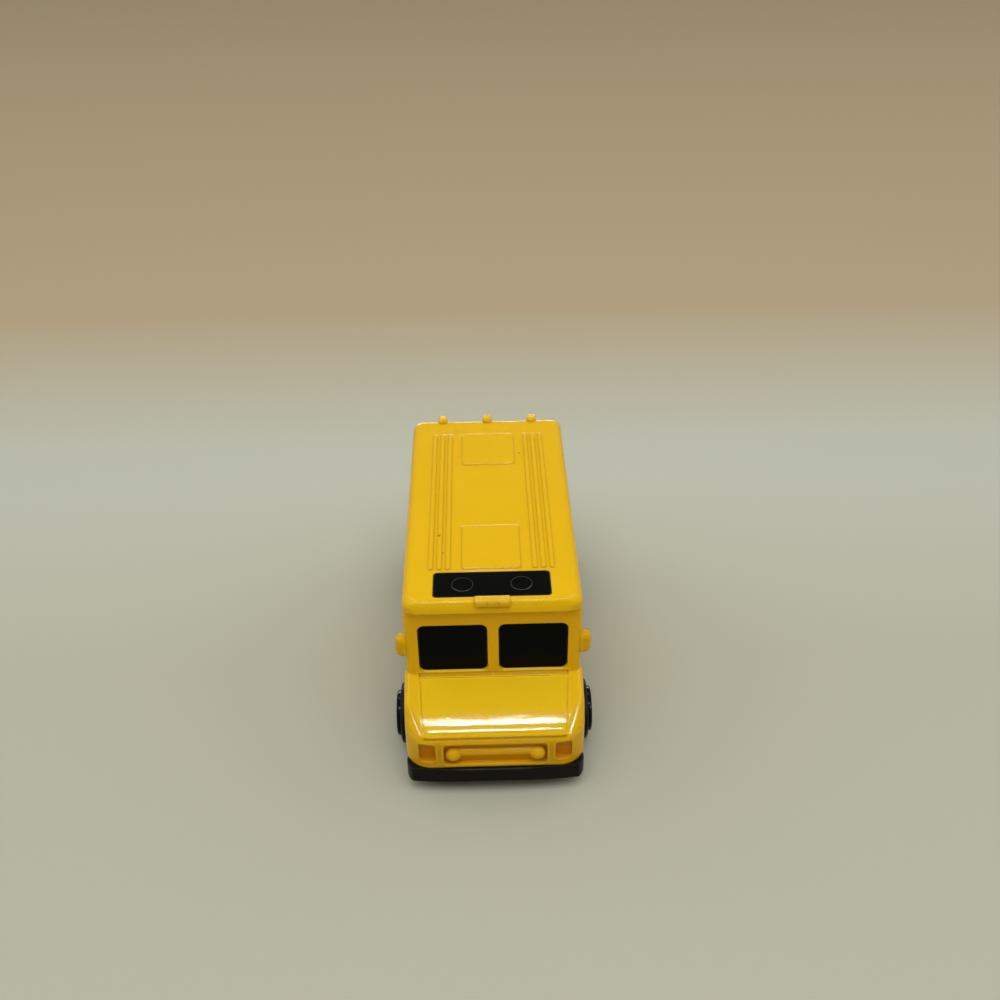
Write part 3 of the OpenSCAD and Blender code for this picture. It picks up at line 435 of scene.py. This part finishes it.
def dress_van():
    """Gives every CAD node its finish."""
    glazing = gloss_black("glazing_plastic", rgb(3, 5, 2), rough=0.07, dust=0.015, rim_highlight=0.36,
                          mirror=0.05)
    disc = gloss_black("disc_plastic", rgb(7, 7, 6), rough=0.12, dust=0.08, rim_highlight=0.15, mirror=0.08)
    dress(["body_shell"], enamel())
    dress(["window_insert"], glazing)
    dress(["chassis_base"], satin_black())
    dress(DISCS, disc)
    dress(TYRES, tread())
    dress(AXLES, steel("axle_wire", along=0, shade=rgb(196, 194, 188)))
    dress(RIVETS, steel("rivet_metal", along=2, shade=rgb(186, 182, 172)))


# Floor, light and camera

def floor():
    """A plain pale floor, a little warmer behind the van and paler far off."""
    mesh = bpy.data.meshes.new("floor")
    corners = [(x*FLOOR_HALF, y*FLOOR_HALF, 0) for x, y in ((-1, -1), (1, -1), (1, 1), (-1, 1))]
    mesh.from_pydata(corners, [], [(0, 1, 2, 3)])
    obj = bpy.data.objects.new("floor", mesh)
    scene.collection.objects.link(obj)
    material = bpy.data.materials.new("floor")
    material.use_nodes = True
    t = material.node_tree
    shader = t.nodes["Principled BSDF"]
    where = put(t, "TexCoord").outputs["Object"]
    y = split(t, where)["Y"]
    tint = FLOOR_FRONT
    for start, end, next_tint in FLOOR_BACK:
        tint = blend(t, spread(t, y, start, end), tint, next_tint)
    near, far, far_tint = FLOOR_FAR
    away = vector(t, "LENGTH", where)["Value"]
    plug(t, shader, "Base Color", blend(t, spread(t, away, near, far), tint, far_tint))
    plug(t, shader, "Roughness", FLOOR_ROUGH)
    plug(t, shader, "Specular IOR Level", 0.0)
    mesh.materials.append(material)


def lamp(name, place, aim, size, watts):
    """Adds a rectangular lamp that the camera doesn't see."""
    data = bpy.data.lights.new(name, "AREA")
    data.shape = "RECTANGLE"
    data.size, data.size_y = size
    data.energy = watts
    obj = bpy.data.objects.new(name, data)
    scene.collection.objects.link(obj)
    obj.location = place
    obj.rotation_euler = (Vector(aim) - Vector(place)).to_track_quat("-Z", "Y").to_euler()
    obj.visible_camera = False
    return obj


def sky():
    """Soft light from all around, seen as plain grey."""
    world = bpy.data.worlds.new("studio")
    scene.world = world
    world.use_nodes = True
    t = world.node_tree
    way = split(t, put(t, "TexCoord").outputs["Generated"])
    soft = t.nodes["Background"]
    plug(t, soft, "Color", blend(t, spread(t, way["Z"], 0.0, 1.0), SKY_LOW, SKY_HIGH))
    plug(t, soft, "Strength", spread(t, way["Y"], -1.0, SKY_FRONT_END, SKY_FRONT, 1.0))
    plain = put(t, "Background", Color=SKY_SEEN)
    path = put(t, "LightPath").outputs
    seen = maths(t, "MAXIMUM", path["Is Camera Ray"],
                 maths(t, "MAXIMUM", path["Is Glossy Ray"], path["Is Transmission Ray"]))
    both = put(t, "MixShader", **{"0": seen, "1": soft.outputs[0], "2": plain.outputs[0]})
    plug(t, t.nodes["World Output"], "Surface", both.outputs[0])


def lamps():
    """The wide lamps, and the narrow ones for the highlights."""
    for row in SIDE_LAMPS:
        lamp("side", *row)
    lamp("top", *TOP_LAMP).visible_glossy = False
    for row in GLINTS:
        lamp("glint", *row).visible_diffuse = False


def camera():
    """The camera at the photograph's viewing angle."""
    yaw, pitch, roll = (math.radians(a) for a in (YAW, PITCH, ROLL))
    ahead = Vector((-math.sin(yaw)*math.cos(pitch),
                    math.cos(yaw)*math.cos(pitch),
                    -math.sin(pitch)))
    level = Vector((math.cos(yaw), math.sin(yaw), 0))
    upright = level.cross(ahead)
    right = math.cos(roll)*level + math.sin(roll)*upright
    up = math.cos(roll)*upright - math.sin(roll)*level
    data = bpy.data.cameras.new("camera")
    data.sensor_width = SENSOR_WIDTH
    data.lens = SENSOR_WIDTH*FOCAL_PX/FRAME_PX
    data.clip_start = CLIP_START
    obj = bpy.data.objects.new("camera", data)
    scene.collection.objects.link(obj)
    turn = Matrix((right, up, -ahead)).transposed()
    obj.matrix_world = Matrix.Translation([c*MM for c in CAMERA_PLACE]) @ turn.to_4x4()
    scene.camera = obj


dress_van()
floor()
sky()
lamps()
camera()
scene.view_settings.view_transform = "Standard"
